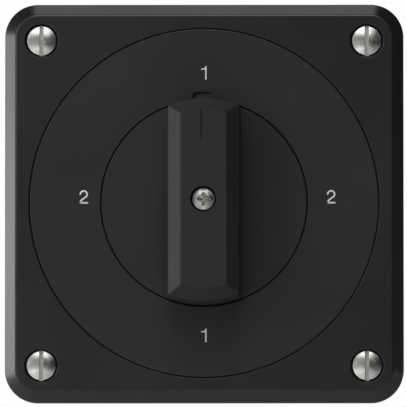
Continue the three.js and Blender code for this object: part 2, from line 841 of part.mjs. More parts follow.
cornerPlaces.forEach(([x, y], i) =>
  batterySwitch.add(piece(`corner_screw_${i + 1}`, cornerScrew(x, y), stainless)),
);

tiePlaces.forEach(([x, y], i) => batterySwitch.add(piece(`tie_screw_${i + 1}`, tieScrew(x, y), stainless)));

studPlaces.forEach(([x, y], i) => {
  const name = studNames[i];
  const under = name.startsWith("common") ? baseBack - seat - linkThickness : baseBack;
  batterySwitch.add(piece(`stud_${name}`, terminalStud(x, y), tinnedBrass));
  batterySwitch.add(...terminalStack(name, x, y, under));
});

batterySwitch.rotation.x = Math.PI / 2;

export default batterySwitch;
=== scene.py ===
import json
import math

import bmesh
import bpy
import numpy as np
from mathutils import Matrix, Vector, geometry


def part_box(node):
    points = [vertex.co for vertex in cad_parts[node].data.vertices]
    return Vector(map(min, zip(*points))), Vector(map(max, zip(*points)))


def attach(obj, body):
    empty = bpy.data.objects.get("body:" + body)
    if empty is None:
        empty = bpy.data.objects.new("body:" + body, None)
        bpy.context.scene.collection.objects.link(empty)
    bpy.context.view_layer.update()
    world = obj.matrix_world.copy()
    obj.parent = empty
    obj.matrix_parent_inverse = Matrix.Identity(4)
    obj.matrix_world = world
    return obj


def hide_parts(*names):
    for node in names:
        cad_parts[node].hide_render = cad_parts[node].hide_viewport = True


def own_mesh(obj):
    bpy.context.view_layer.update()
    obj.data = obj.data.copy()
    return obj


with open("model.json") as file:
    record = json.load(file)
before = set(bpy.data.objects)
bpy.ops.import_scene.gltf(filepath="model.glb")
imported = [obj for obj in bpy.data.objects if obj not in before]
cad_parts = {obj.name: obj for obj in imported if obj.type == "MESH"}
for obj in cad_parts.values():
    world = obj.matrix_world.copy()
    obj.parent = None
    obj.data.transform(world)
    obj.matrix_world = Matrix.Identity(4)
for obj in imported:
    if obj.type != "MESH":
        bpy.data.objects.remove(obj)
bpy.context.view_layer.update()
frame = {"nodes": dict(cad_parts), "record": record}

# ============ floor, light and camera
# A pale floor well below the switch, and soft panels round it: the strongest stand at its left edge,
# ahead of it on the left, and above; two strips ahead give the screw heads their bright bands.

scene = bpy.context.scene
scene.view_settings.view_transform = "Standard"
scene.view_settings.look = "None"

FLOOR_HEIGHT = -0.2
CAMERA_AZIMUTH, CAMERA_ELEVATION = 0.6, -3.4  # degrees to the right of straight ahead, and up
CAMERA_DISTANCE = 2.0
VIEW_WIDTH = 0.09385  # what the picture spans at the plate
AIM = Vector((-0.00016, -0.006, -0.00002))

floor_mesh = bpy.data.meshes.new("floor")
floor_mesh.from_pydata(
    [(x, y, FLOOR_HEIGHT) for x, y in ((-4, -4), (4, -4), (4, 4), (-4, 4))], [], [(0, 1, 2, 3)]
)
floor = bpy.data.objects.new("floor", floor_mesh)
scene.collection.objects.link(floor)

floor_material = bpy.data.materials.new("pale floor")
floor_material.use_nodes = True
tree = floor_material.node_tree
paint = tree.nodes["Principled BSDF"]
paint.inputs["Base Color"].default_value = (0.82, 0.82, 0.81, 1)
paint.inputs["Roughness"].default_value = 0.7
clear = tree.nodes.new("ShaderNodeBsdfTransparent")
side = tree.nodes.new("ShaderNodeNewGeometry")
either = tree.nodes.new("ShaderNodeMixShader")
join = tree.links.new
join(side.outputs["Backfacing"], either.inputs[0])
join(paint.outputs[0], either.inputs[1])
join(clear.outputs[0], either.inputs[2])
join(either.outputs[0], tree.nodes["Material Output"].inputs[0])
floor_mesh.materials.append(floor_material)

# The surroundings: white to the camera, dark ahead of the plate, brighter behind it.
world = bpy.data.worlds.new("studio")
scene.world = world
world.use_nodes = True
tree = world.node_tree
tree.nodes.clear()
place = tree.nodes.new("ShaderNodeTexCoord")
split = tree.nodes.new("ShaderNodeSeparateXYZ")
ramp = tree.nodes.new("ShaderNodeMapRange")
ramp.inputs["From Min"].default_value = 0.25
ramp.inputs["From Max"].default_value = 0.8
ramp.inputs["To Min"].default_value = 0.0
ramp.inputs["To Max"].default_value = 0.5
room = tree.nodes.new("ShaderNodeBackground")
backdrop = tree.nodes.new("ShaderNodeBackground")
seen = tree.nodes.new("ShaderNodeLightPath")
chosen = tree.nodes.new("ShaderNodeMixShader")
out = tree.nodes.new("ShaderNodeOutputWorld")
join = tree.links.new
join(place.outputs["Generated"], split.inputs[0])
join(split.outputs["Y"], ramp.inputs["Value"])
join(ramp.outputs[0], room.inputs["Strength"])
join(seen.outputs["Is Camera Ray"], chosen.inputs[0])
join(room.outputs[0], chosen.inputs[1])
join(backdrop.outputs[0], chosen.inputs[2])
join(chosen.outputs[0], out.inputs[0])
backdrop.inputs["Color"].default_value = (1, 1, 1, 1)


def looking_back(name, data, azimuth, elevation, distance, target=Vector()):
    """An object that faces a target from a distance, in a direction: degrees to the right of straight
    ahead and degrees up."""
    across, up = math.radians(azimuth), math.radians(elevation)
    toward = Vector(
        (math.sin(across) * math.cos(up), -math.cos(across) * math.cos(up), math.sin(up))
    )
    holder = bpy.data.objects.new(name, data)
    holder.location = target + distance * toward
    holder.rotation_euler = (-toward).to_track_quat("-Z", "Y").to_euler()
    scene.collection.objects.link(holder)
    return holder


def panel(name, azimuth, elevation, radiance, width=0.4, height=0.4, distance=1.0):
    """A soft panel that faces the switch. Its power is radiance times pi times its area."""
    light = bpy.data.lights.new(name, "AREA")
    light.shape = "RECTANGLE"
    light.size, light.size_y = width, height
    light.energy = radiance * math.pi * width * height
    looking_back(name, light, azimuth, elevation, distance).visible_camera = False


panel("left edge panel", -100, 0, 7.1)
panel("left panel", -75, 20, 0.9)
panel("front left panel", -46, 10, 3.5)
panel("front upper strip", -20, 26, 1.6, width=1.2, height=0.22)
panel("front lower strip", -20, -13, 1.4, width=1.1, height=0.17)
panel("middle panel", -14, 0, 0.25)
panel("upper panel", 0, 45, 5.0)
panel("overhead panel", 0, 96, 1.72)
panel("right edge panel", 100, -20, 2.6)
panel("rear panel", -150, 8, 2.6, width=0.9, height=0.9, distance=1.3)

eye = bpy.data.cameras.new("camera")
eye.lens = eye.sensor_width * CAMERA_DISTANCE / VIEW_WIDTH
eye.clip_start, eye.clip_end = 0.1, 20
scene.camera = looking_back("camera", eye, CAMERA_AZIMUTH, CAMERA_ELEVATION, CAMERA_DISTANCE, AIM)

# ============ cover plate
# The square frame on the panel, one injection moulding in black plastic: a sloping edge, a stepped
# round opening whose ledge holds the legend disc, and a hollow round each corner boss behind.

BODIES = frame["record"]["behaviour"]["bodies"]
BODY_OF = {node: body for body, nodes in BODIES.items() for node in nodes}


def span(node):
    """A node's lowest and highest corners in millimetres, as across, up and forward."""
    low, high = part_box(node)
    return (
        1000 * np.array([low[0], low[2], -high[1]]),
        1000 * np.array([high[0], high[2], -low[1]]),
    )


def middle(node):
    """The middle of a node's box, across and up, in millimetres."""
    low, high = span(node)
    return (low[:2] + high[:2]) / 2


def filleted(corners, radii, steps=5, guard=0.12):
    """A line through corners, each rounded by the arc of its radius that touches both its sides.

    The arc's points turn evenly about its centre, which lies on the corner's bisector. One point more
    stands just outside each end of an arc, so that shading stays flat on the flats."""
    corners = np.asarray(corners, float)
    rows = []
    for i, (corner, radius) in enumerate(zip(corners, radii)):
        if not radius:
            rows.append(corner[None])
            continue
        sides = np.stack([corners[i - 1], corners[(i + 1) % len(corners)]]) - corner
        lengths = np.linalg.norm(sides, axis=1)
        before, after = sides / lengths[:, None]
        half = np.arccos(np.clip(before @ after, -1, 1)) / 2
        reach = radius / np.tan(half)
        centre = corner + (before + after) / np.linalg.norm(before + after) * radius / np.sin(half)
        start, end = corner + before * reach - centre, corner + after * reach - centre
        turn = math.pi - 2 * half
        t = np.linspace(0, 1, steps + 1)[:, None]
        bend = (np.sin((1 - t) * turn) * start + np.sin(t * turn) * end) / np.sin(turn)
        out, on = np.minimum(guard, 0.3 * (lengths - reach))
        rows += [
            (centre + start + before * out)[None],
            centre + bend,
            (centre + end + after * on)[None],
        ]
    return np.concatenate(rows)


def circle(radius, steps, centre=(0, 0)):
    """Points at a radius round a centre, at even angles."""
    angle = np.linspace(0, 2 * np.pi, steps, endpoint=False)
    return np.column_stack([centre[0] + radius * np.cos(angle), centre[1] + radius * np.sin(angle)])


def four_times(points):
    """Flat points repeated at each quarter turn about the axis."""
    turns = [np.array([[c, s], [-s, c]]) for c, s in ((1, 0), (0, 1), (-1, 0), (0, -1))]
    return np.concatenate([points @ turn for turn in turns])


def rounded_square(half, corner, steps=14):
    """Four quarter circles of the corner's radius, joined by straight sides."""
    angle = np.linspace(0, np.pi / 2, steps + 1)
    return four_times(np.column_stack([np.cos(angle), np.sin(angle)]) * corner + (half - corner))


def raised(outline, height):
    """A flat outline lifted to a height."""
    return np.column_stack([outline, np.full(len(outline), height)])


def wall(outline_at, profile):
    """For each profile point, the outline at its first value lifted to its second."""
    return np.stack([raised(outline_at(inset), height) for inset, height in profile])


def turned(profile, steps=120, centre=(0, 0)):
    """A profile of radius and height turned about an axis that stands at a centre."""
    return wall(lambda radius: circle(radius, steps, centre), profile)


def build(name, walls, flats=(), sharp=35):
    """One closed mesh from walls, which are grids whose columns run round and close, and flats, each
    an outer loop with its holes; shared edges are merged and the faces turned outwards."""
    points, faces, count = [], [], 0
    for grid in walls:
        rows, columns = grid.shape[:2]
        index = count + np.arange(rows * columns).reshape(rows, columns)
        around = np.roll(index, -1, axis=1)
        quads = np.stack([index[:-1], around[:-1], around[1:], index[1:]], axis=-1)
        points.append(grid.reshape(-1, 3))
        faces += quads.reshape(-1, 4).tolist()
        count += rows * columns
    for outer, *holes in flats:
        loops = [outer, *holes]
        triangles = geometry.tessellate_polygon([[Vector(p) for p in loop] for loop in loops])
        points.append(np.concatenate(loops))
        faces += (np.array(triangles) + count).tolist()
        count += sum(map(len, loops))
    x, y, z = (np.concatenate(points) / 1000).T
    mesh = bpy.data.meshes.new(name)
    mesh.from_pydata(np.column_stack([x, -z, y]).tolist(), [], faces)
    return closed(mesh, sharp)


def closed(mesh, sharp=35):
    """Merges a mesh's doubles, turns its faces outwards, and shades it smooth up to an angle."""
    work = bmesh.new()
    work.from_mesh(mesh)
    bmesh.ops.remove_doubles(work, verts=work.verts, dist=2e-7)
    bmesh.ops.dissolve_degenerate(work, edges=work.edges, dist=1e-8)
    bmesh.ops.recalc_face_normals(work, faces=work.faces)
    if work.calc_volume(signed=True) < 0:
        bmesh.ops.reverse_faces(work, faces=work.faces)
    work.to_mesh(mesh)
    work.free()
    mesh.shade_smooth()
    mesh.set_sharp_from_angle(angle=math.radians(sharp))
    return mesh


def stand(mesh, material, node):
    """Places a mesh as a piece on a CAD node's body, with a material."""
    piece = bpy.data.objects.new(mesh.name.replace(" ", "_"), mesh)
    mesh.materials.clear()
    mesh.materials.append(material)
    scene.collection.objects.link(piece)
    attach(piece, BODY_OF[node])
    return piece


def fit(mesh, material, node):
    """Places a mesh as the piece that replaces a CAD node."""
    piece = stand(mesh, material, node)
    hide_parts(node)
    return piece


def noise(tree, size_mm, detail, stretch=None):
    """A noise texture on Object coordinates whose features are about size_mm across."""
    place = tree.nodes.new("ShaderNodeTexCoord")
    texture = tree.nodes.new("ShaderNodeTexNoise")
    texture.inputs["Scale"].default_value = 1000 / size_mm
    texture.inputs["Detail"].default_value = detail
    source = place.outputs["Object"]
    if stretch:
        mapping = tree.nodes.new("ShaderNodeMapping")
        mapping.inputs["Scale"].default_value = stretch
        tree.links.new(source, mapping.inputs["Vector"])
        source = mapping.outputs[0]
    tree.links.new(source, texture.inputs["Vector"])
    return texture.outputs["Fac"]


def ranged(tree, value, low, high, to_low=0.0, to_high=1.0):
    """value, read between low and high, carried to the range from to_low to to_high."""
    node = tree.nodes.new("ShaderNodeMapRange")
    for socket, bound in zip(list(node.inputs)[1:5], (low, high, to_low, to_high)):
        socket.default_value = bound
    tree.links.new(value, node.inputs["Value"])
    return node.outputs[0]


def blended(tree, factor, a, b):
    """Colour a turning into colour b as factor goes from 0 to 1."""
    node = tree.nodes.new("ShaderNodeMix")
    node.data_type = "RGBA"
    tree.links.new(factor, node.inputs["Factor"])
    for socket, value in ((node.inputs["A"], a), (node.inputs["B"], b)):
        if isinstance(value, tuple):
            socket.default_value = value
        else:
            tree.links.new(value, socket)
    return node.outputs["Result"]


def surface(name, clouds, cloud_range, drift, drift_range, relief):
    """A shader node group: two close tones in clouds, gloss that drifts by its spread to either side,
    and a relief for the height. clouds, drift and relief are each a noise's size and detail."""
    effect = bpy.data.node_groups.new(name, "ShaderNodeTree")
    colour, number = "NodeSocketColor", "NodeSocketFloat"
    inputs = {"Colour": colour, "Other Colour": colour, "Roughness": number, "Roughness Spread": number}
    outputs = {"Colour": colour, "Roughness": number, "Height": number}
    for way, sockets in (("INPUT", inputs), ("OUTPUT", outputs)):
        for label, kind in sockets.items():
            effect.interface.new_socket(label, in_out=way, socket_type=kind)
    given = effect.nodes.new("NodeGroupInput").outputs
    made = effect.nodes.new("NodeGroupOutput").inputs
    cloudy = ranged(effect, noise(effect, *clouds), *cloud_range)
    tone = blended(effect, cloudy, given["Colour"], given["Other Colour"])
    gloss = effect.nodes.new("ShaderNodeMath")
    gloss.operation = "MULTIPLY_ADD"
    swing = ranged(effect, noise(effect, *drift), *drift_range, -1.0, 1.0)
    for socket, value in zip(gloss.inputs, (swing, given["Roughness Spread"], given["Roughness"])):
        effect.links.new(value, socket)
    effect.links.new(tone, made["Colour"])
    effect.links.new(gloss.outputs[0], made["Roughness"])
    effect.links.new(noise(effect, *relief), made["Height"])
    return effect


def principled(name):
    """A new material with its tree and its Principled shader."""
    material = bpy.data.materials.new(name)
    material.use_nodes = True
    return material, material.node_tree, material.node_tree.nodes["Principled BSDF"]


def bump(tree, shader, height, depth_mm):
    """Feeds a height, in units of depth_mm, to the shader's normal."""
    node = tree.nodes.new("ShaderNodeBump")
    node.inputs["Distance"].default_value = depth_mm / 1000
    node.inputs["Strength"].default_value = 1.0
    tree.links.new(height, node.inputs["Height"])
    tree.links.new(node.outputs[0], shader.inputs["Normal"])


def finished(name, effect, colour, other, roughness, spread, depth_mm):
    """A material whose colour, gloss and height come from a surface group with its own values."""
    material, tree, shader = principled(name)
    group = tree.nodes.new("ShaderNodeGroup")
    group.node_tree = effect
    group.inputs["Colour"].default_value = (*colour, 1)
    group.inputs["Other Colour"].default_value = (*other, 1)
    group.inputs["Roughness"].default_value = roughness
    group.inputs["Roughness Spread"].default_value = spread
    tree.links.new(group.outputs["Colour"], shader.inputs["Base Color"])
    tree.links.new(group.outputs["Roughness"], shader.inputs["Roughness"])
    bump(tree, shader, group.outputs["Height"], depth_mm)
    return material, shader


# Spark-eroded mould skin: a fine grain in the height, slow drift in colour and gloss.
mould_skin = surface("mould skin", (6, 4), (0.45, 0.85), (26, 2), (0.3, 0.7), (0.22, 3))


def moulded(name, colour, worn, roughness, drift, grain_mm, specular=0.5):
    """A moulded plastic: the mould skin on a plain dielectric."""
    material, shader = finished(name, mould_skin, colour, worn, roughness, drift, grain_mm)
    shader.inputs["Specular IOR Level"].default_value = specular
    return material


BLACK, WORN_BLACK = (0.0165, 0.0175, 0.0175), (0.02, 0.021, 0.021)
frame_plastic = moulded("black frame plastic", BLACK, WORN_BLACK, 0.3, 0.03, 0.004)

plate_low, plate_high = span("cover_plate")
PLATE_BACK, FACE = plate_low[2], plate_high[2]
PLATE_HALF = plate_high[0]
PLATE_CORNER, CHAMFER_WIDTH, CHAMFER_DEPTH = 7.6, 2.6, 2.7
DISC_RADIUS, DISC_GAP = span("legend_disc")[1][0], 0.25
OPENING = DISC_RADIUS + DISC_GAP
LEDGE_WIDTH, LEDGE_FRONT = 2.5, FACE - 2.65
SKIN_THICKNESS, EDGE_WALL = 2.6, 2.4
COUNTERBORE, SCREW_HOLE, BOSS = 3.85, 2.0, 5.6
BORE_FLOOR = FACE - 2.45
HOLLOW_REACH = 8.6

edge_profile = filleted(
    [
        (1.2, PLATE_BACK),
        (0, PLATE_BACK),
        (0, FACE - CHAMFER_DEPTH),
        (CHAMFER_WIDTH, FACE),
        (CHAMFER_WIDTH + 0.9, FACE),
    ],
    [0, 0.2, 0.45, 0.7, 0],
)
plate_edge = wall(lambda inset: rounded_square(PLATE_HALF - inset, PLATE_CORNER - inset), edge_profile)
opening_wall = turned(
    filleted(
        [
            (OPENING + 0.7, FACE),
            (OPENING, FACE),
            (OPENING, LEDGE_FRONT),
            (OPENING - LEDGE_WIDTH, LEDGE_FRONT),
            (OPENING - LEDGE_WIDTH, PLATE_BACK),
            (OPENING - LEDGE_WIDTH + 0.7, PLATE_BACK),
        ],
        [0, 0.16, 0, 0.15, 0.15, 0],
    ),
    160,
)


def plate_corner(x, y):
    """One corner's counterbore and screw hole, and the hollow round its boss at the back."""
    bore = turned(
        filleted(
            [
                (COUNTERBORE + 0.5, FACE),
                (COUNTERBORE, FACE),
                (COUNTERBORE, BORE_FLOOR),
                (SCREW_HOLE, BORE_FLOOR),
                (SCREW_HOLE, PLATE_BACK),
            ],
            [0, 0.16, 0, 0.2, 0],
        ),
        48,
        (x, y),
    )
    near, far = abs(x) - HOLLOW_REACH, PLATE_HALF - EDGE_WALL
    ring = OPENING + EDGE_WALL
    bend = math.acos(near / ring)
    angle = np.linspace(math.pi / 2 - bend, bend, 5)[::-1]
    arc = ring * np.column_stack([np.cos(angle), np.sin(angle)])
    corner = filleted([(near, far), (far, far), (far, near)], [0, 1.2, 0], 6)
    signs = np.sign([x, y])
    rim = np.concatenate([corner, arc[::-1]]) * signs
    floor_height = FACE - SKIN_THICKNESS
    hollow = np.stack([raised(rim, PLATE_BACK), raised(rim, floor_height)])
    boss = turned([(BOSS, PLATE_BACK), (BOSS, floor_height)], 48, (x, y))
    return bore, hollow, boss


corner_places = [middle(f"corner_screw_{i}") for i in (1, 2, 3, 4)]
bores, hollows, bosses = zip(*(plate_corner(*place) for place in corner_places))
fit(
    build(
        "cover plate",
        [plate_edge, opening_wall, *bores, *hollows, *bosses],
        [
            (plate_edge[-1], opening_wall[0], *(bore[0] for bore in bores)),
            (plate_edge[0], opening_wall[-1], *(hollow[0] for hollow in hollows)),
            *((hollow[1], boss[1]) for hollow, boss in zip(hollows, bosses)),
            *((boss[0], bore[-1]) for boss, bore in zip(bosses, bores)),
        ],
    ),
    frame_plastic,
    "cover_plate",
)

# ============ legend disc
# The round plate that sits flush in the frame, moulded in the same black plastic: a pocket for the
# knob in front, a small notch to lift the knob by, and four bosses behind for the tie screws.

disc_plastic = moulded("black disc plastic", BLACK, WORN_BLACK, 0.36, 0.03, 0.005)

KNOB_RADIUS = span("knob")[1][0]
POCKET = KNOB_RADIUS + DISC_GAP
POCKET_WALL, DISC_RIM = 2.4, 2.6
KNOB_BACK = span("knob")[0][2]
POCKET_FLOOR = KNOB_BACK - 0.3
DISC_BACK = POCKET_FLOOR - 2.0
NECK_HOLE = 8.48
NOTCH_LEFT, NOTCH_RIGHT, NOTCH_TOP = -2.5, 1.7, 1.6
NOTCH_DEPTH, NOTCH_END_DEPTH = 1.15, 0.75  # at its left end, and at its right
BOSS_RADIUS, PILOT_RADIUS = 3.9, 1.9
BOSS_END = span("legend_disc")[0][2]
PILOT_END = FACE - 1.2
tie_places = [middle(f"tie_screw_{i}") for i in (1, 2, 3, 4)]


def pocket_edge(grow, notched=True, steps=140):
    """A circle broken at the top by the notch's rounded sides; unnotched, the same points drop back to
    the circle at their own place across."""
    radius = POCKET + grow
    left, right, top = NOTCH_LEFT - grow, NOTCH_RIGHT + grow, POCKET + NOTCH_TOP + grow
    on_circle = lambda across: np.sqrt(radius**2 - across**2)
    path = filleted(
        [(right, on_circle(right)), (right, top), (left, top), (left, on_circle(left))],
        [0, 0.3 + grow, 0.55 + grow, 0],
        6,
        0.05,
    )
    if not notched:
        path[:, 1] = on_circle(path[:, 0])
    start, end = math.acos(left / radius), math.acos(right / radius) + 2 * math.pi
    angle = np.linspace(start, end, steps)[1:-1]
    return np.concatenate([path, radius * np.column_stack([np.cos(angle), np.sin(angle)])])


lip = filleted([(0.4, FACE), (0, FACE), (0, FACE - NOTCH_DEPTH)], [0, 0.14, 0])[:-1]
notch_edge, round_edge = pocket_edge(0), pocket_edge(0, False)
along_notch = np.clip((notch_edge[:, 0] - NOTCH_LEFT) / (NOTCH_RIGHT - NOTCH_LEFT), 0, 1)
notch_floor = FACE - NOTCH_DEPTH + (NOTCH_DEPTH - NOTCH_END_DEPTH) * along_notch
pocket_wall = np.stack(
    [raised(pocket_edge(grow), height) for grow, height in lip]
    + [np.column_stack([edge, notch_floor]) for edge in (notch_edge, round_edge)]
    + [raised(round_edge, POCKET_FLOOR)]
)
disc_edge = turned(
    filleted(
        [
            (DISC_RADIUS - 0.6, FACE),
            (DISC_RADIUS, FACE),
            (DISC_RADIUS, FACE - DISC_RIM),
            (DISC_RADIUS - 0.6, FACE - DISC_RIM),
        ],
        [0, 0.14, 0.15, 0],
    ),
    160,
)
well_outside = turned(
    filleted(
        [
            (POCKET + POCKET_WALL, FACE - DISC_RIM),
            (POCKET + POCKET_WALL, DISC_BACK),
            (POCKET + POCKET_WALL - 0.6, DISC_BACK),
        ],
        [0, 0.25, 0],
    ),
)
neck_hole = turned([(NECK_HOLE, POCKET_FLOOR), (NECK_HOLE, DISC_BACK)], 72)


def disc_boss(x, y):
    """A boss with its blind pilot hole, as one wall from the disc's back to the hole's end."""
    profile = filleted(
        [
            (BOSS_RADIUS, FACE - DISC_RIM),
            (BOSS_RADIUS, BOSS_END),
            (PILOT_RADIUS, BOSS_END),
            (PILOT_RADIUS, PILOT_END),
        ],
        [0, 0.3, 0.2, 0],
        4,
        0.05,
    )
    return turned(profile, 40, (x, y))


disc_bosses = [disc_boss(*place) for place in tie_places]
fit(
    build(
        "legend disc",
        [pocket_wall, disc_edge, well_outside, neck_hole, *disc_bosses],
        [
            (disc_edge[0], pocket_wall[0]),
            (pocket_wall[-1], neck_hole[0]),
            (well_outside[-1], neck_hole[-1]),
            (disc_edge[-1], well_outside[0], *(boss[0] for boss in disc_bosses)),
            *((boss[-1],) for boss in disc_bosses),
        ],
    ),
    disc_plastic,
    "legend_disc",
)

# ============ numerals
# The position marks, pad-printed on the disc in pale ink: 1 above and below, 2 on both sides.
# Each is a slab of ink a few hundredths of a millimetre thick, a little uneven in tone.

INK_THICKNESS = 0.025
FIGURE_HEIGHT, FIGURE_STROKE, TWO_WIDTH = 3.1, 0.36, 2.0

ink, tree, shader = principled("pale ink")
cover = noise(tree, 0.35, 3)
tone = blended(tree, ranged(tree, cover, 0.3, 0.7), (0.78, 0.79, 0.79, 1), (0.92, 0.93, 0.93, 1))
tree.links.new(tone, shader.inputs["Base Color"])
shader.inputs["Roughness"].default_value = 0.55
bump(tree, shader, cover, 0.004)

one = np.array(
    [
        (0.27, 0),
        (0.61, 0),
        (0.61, FIGURE_HEIGHT),
        (0.36, FIGURE_HEIGHT),
        (0.2, 2.74),
        (-0.14, 2.57),
        (-0.64, 2.52),
        (-0.64, 2.27),
        (0.27, 2.27),
    ]
)


def two():
    """A stroke of even width: most of a circle for the bowl, a cubic curve down to the left, and a
    straight foot. Both edges are the middle line moved half a stroke along its normal."""
    half = FIGURE_STROKE / 2
    bowl = TWO_WIDTH / 2 - half - 0.03
    angle = np.radians(np.linspace(188, -38, 26))
    start = bowl * np.column_stack([np.cos(angle), np.sin(angle)]) + (0, FIGURE_HEIGHT - half - bowl)
    heel = np.array([-TWO_WIDTH / 2 + half, half])
    pulls = start[-1] + 1.15 * (start[-1] - start[-2]), heel + (0.12, 0.75)
    t = np.linspace(0, 1, 12)[1:, None]
    lean = (1 - t) ** 3 * start[-1] + t**3 * heel
    lean += 3 * (1 - t) ** 2 * t * pulls[0] + 3 * (1 - t) * t**2 * pulls[1]
    line = np.concatenate([start, lean])
    along = np.gradient(line, axis=0)
    along /= np.linalg.norm(along, axis=1)[:, None]
    normal = np.column_stack([-along[:, 1], along[:, 0]]) * half
    outer, inner = line + normal, line - normal
    inner = inner[inner[:, 1] > 2 * half + 0.02]
    outer = outer[outer[:, 1] > 0.1]
    foot = TWO_WIDTH / 2
    tail = [(inner[-1, 0] - 0.1, 2 * half), (foot, 2 * half), (foot, 0), (-foot, 0)]
    return np.concatenate([inner, tail, outer[::-1]])


def figure(name, outline, x, y):
    """An outline centred on a place, as a slab that lies on the disc's face."""
    low, high = outline.min(axis=0), outline.max(axis=0)
    at = outline - (low + high) / 2 + (x, y)
    slab = np.stack([raised(at, FACE), raised(at, FACE + INK_THICKNESS)])
    stand(build(name, [slab], [(slab[0],), (slab[1],)]), ink, "legend_disc")


figure("figure one above", one, -0.05, 30.05)
figure("figure one below", one, -0.05, -30.55)
figure("figure two left", two(), -27.75, 1.4)
figure("figure two right", two(), 29.25, 1.4)

# ============ knob
# A hollow moulding in matt black plastic: a thin disc in the legend's pocket, and a bar handle across
# it with leaning sides, a chamfer round its crest, a pointer groove and a well for the screw.

knob_plastic = moulded("black knob plastic", BLACK, WORN_BLACK, 0.65, 0.04, 0.008, specular=0.4)

CREST = span("knob")[1][2]
KNOB_FACE = FACE + 0.3
HANDLE_HALF, HANDLE_END_INSET, HANDLE_DRAFT = 8.4, 0.15, 0.3
HANDLE_CHAMFER, HANDLE_CHAMFER_DEPTH = 2.85, 3.2
SHOULDER = CREST - HANDLE_CHAMFER_DEPTH
EDGE_ROUND = 0.45
WELL_RADIUS = 2.9
screw_low, screw_high = span("knob_screw")
SCREW_SEAT = screw_high[2] - 2.0
WELL_FLOOR, KNOB_SCREW_HOLE = SCREW_SEAT - 0.05, 1.65
SOCKET_HALF, SOCKET_END = 3.65, SCREW_SEAT - 2.55
SOCKET_WALL, HANDLE_WALL, RIB_HALF = 2.4, 2.6, 1.0


def bar(half, reach, corner, steps=22):
    """A bar with straight sides and ends that are arcs about the axis; each corner is an arc that
    touches both, so its centre lies a corner's radius inside the side and inside the end."""
    rise = math.sqrt((reach - corner) ** 2 - (half - corner) ** 2)
    turn = math.atan2(rise, half - corner)
    bend = np.linspace(0, turn, 9)
    sweep = np.linspace(turn, math.pi - turn, steps + 1)[1:-1]
    right = np.column_stack([half - corner + corner * np.cos(bend), rise + corner * np.sin(bend)])
    end = reach * np.column_stack([np.cos(sweep), np.sin(sweep)])
    left = right[::-1] * (-1, 1)
    upper = np.concatenate([right, end, left])
    return np.concatenate([upper, -upper])


def handle_outline(inset):
    """The bar at an inset from its foot."""
    return bar(HANDLE_HALF - inset, KNOB_RADIUS - HANDLE_END_INSET - inset, EDGE_ROUND + max(-inset, 0))


top_inset = HANDLE_DRAFT + HANDLE_CHAMFER
handle_wall = wall(
    handle_outline,
    filleted(
        [
            (-0.12, KNOB_FACE),
            (0, KNOB_FACE),
            (HANDLE_DRAFT, SHOULDER),
            (top_inset, CREST),
            (top_inset + 0.9, CREST),
        ],
        [0, 0.07, 0.42, 0.38, 0],
    ),
)
knob_rim = turned(
    filleted(
        [
            (KNOB_RADIUS - 0.5, KNOB_FACE),
            (KNOB_RADIUS, KNOB_FACE),
            (KNOB_RADIUS, KNOB_BACK),
            (KNOB_RADIUS - 0.8, KNOB_BACK),
        ],
        [0, 0.24, 0.25, 0],
    ),
    144,
)
screw_well = turned(
    filleted(
        [
            (WELL_RADIUS + 0.5, CREST),
            (WELL_RADIUS, CREST),
            (WELL_RADIUS, WELL_FLOOR),
            (KNOB_SCREW_HOLE, WELL_FLOOR),
            (KNOB_SCREW_HOLE, SOCKET_END),
        ],
        [0, 0.2, 0, 0, 0],
    ),
    48,
)
socket_outline = rounded_square(SOCKET_HALF, 0.3, 4)
socket = np.stack([raised(socket_outline, height) for height in (SOCKET_END, KNOB_BACK)])
hollow_top = SHOULDER - HANDLE_WALL
hollow_inside = SOCKET_HALF + SOCKET_WALL
crest_reach = KNOB_RADIUS - HANDLE_END_INSET - HANDLE_DRAFT - HANDLE_CHAMFER
hollow_outside = crest_reach - HANDLE_WALL
hollow_half = (HANDLE_HALF - HANDLE_DRAFT - HANDLE_WALL - RIB_HALF) / 2


def handle_hollow(side, end):
    """A pocket with rounded corners beside the rib, a little narrower at its far end."""
    across = side * (RIB_HALF + hollow_half)
    along = end * (hollow_inside + hollow_outside) / 2
    length = (hollow_outside - hollow_inside) / 2

    def outline(inset):
        """The pocket's rounded oblong, drawn in all round."""
        square = rounded_square(1, 0.25, 4)
        return square * (hollow_half - inset, length - inset) + (across, along)

    profile = [(0, KNOB_BACK), (0.15, hollow_top), (0.8, hollow_top)]
    return wall(outline, filleted(profile, [0, 0.3, 0], 4, 0.05))


handle_hollows = [handle_hollow(side, end) for side in (1, -1) for end in (1, -1)]
knob_mesh = build(
    "knob",
    [handle_wall, knob_rim, screw_well, socket, *handle_hollows],
    [
        (knob_rim[0], handle_wall[0]),
        (handle_wall[-1], screw_well[0]),
        (socket[0], screw_well[-1]),
        (knob_rim[-1], socket[-1], *(hollow[0] for hollow in handle_hollows)),
        *((hollow[-1],) for hollow in handle_hollows),
    ],
)


def carved(name, mesh, cutter):
    """The mesh, under a new name, with a closed cutter mesh taken out of it by an exact boolean."""
    body, tool = (bpy.data.objects.new(part.name, part) for part in (mesh, cutter))
    scene.collection.objects.link(body)
    scene.collection.objects.link(tool)
    step = body.modifiers.new("cut", "BOOLEAN")
    step.operation, step.solver, step.object = "DIFFERENCE", "EXACT", tool
    made = bpy.data.meshes.new_from_object(body.evaluated_get(bpy.context.evaluated_depsgraph_get()))
    for spare in (body, tool):
        bpy.data.objects.remove(spare)
    for spare in (mesh, cutter):
        bpy.data.meshes.remove(spare)
    made.name = name
    made.shade_smooth()
    made.set_sharp_from_angle(angle=math.radians(35))
    return made


# The pointer groove: a shallow round-bottomed slot from the crest's upper end.
GROOVE_MIDDLE, GROOVE_HALF, GROOVE_LENGTH = -0.45, 0.2, 6.5
GROOVE_START_DEPTH, GROOVE_DEPTH = 0.25, 0.5


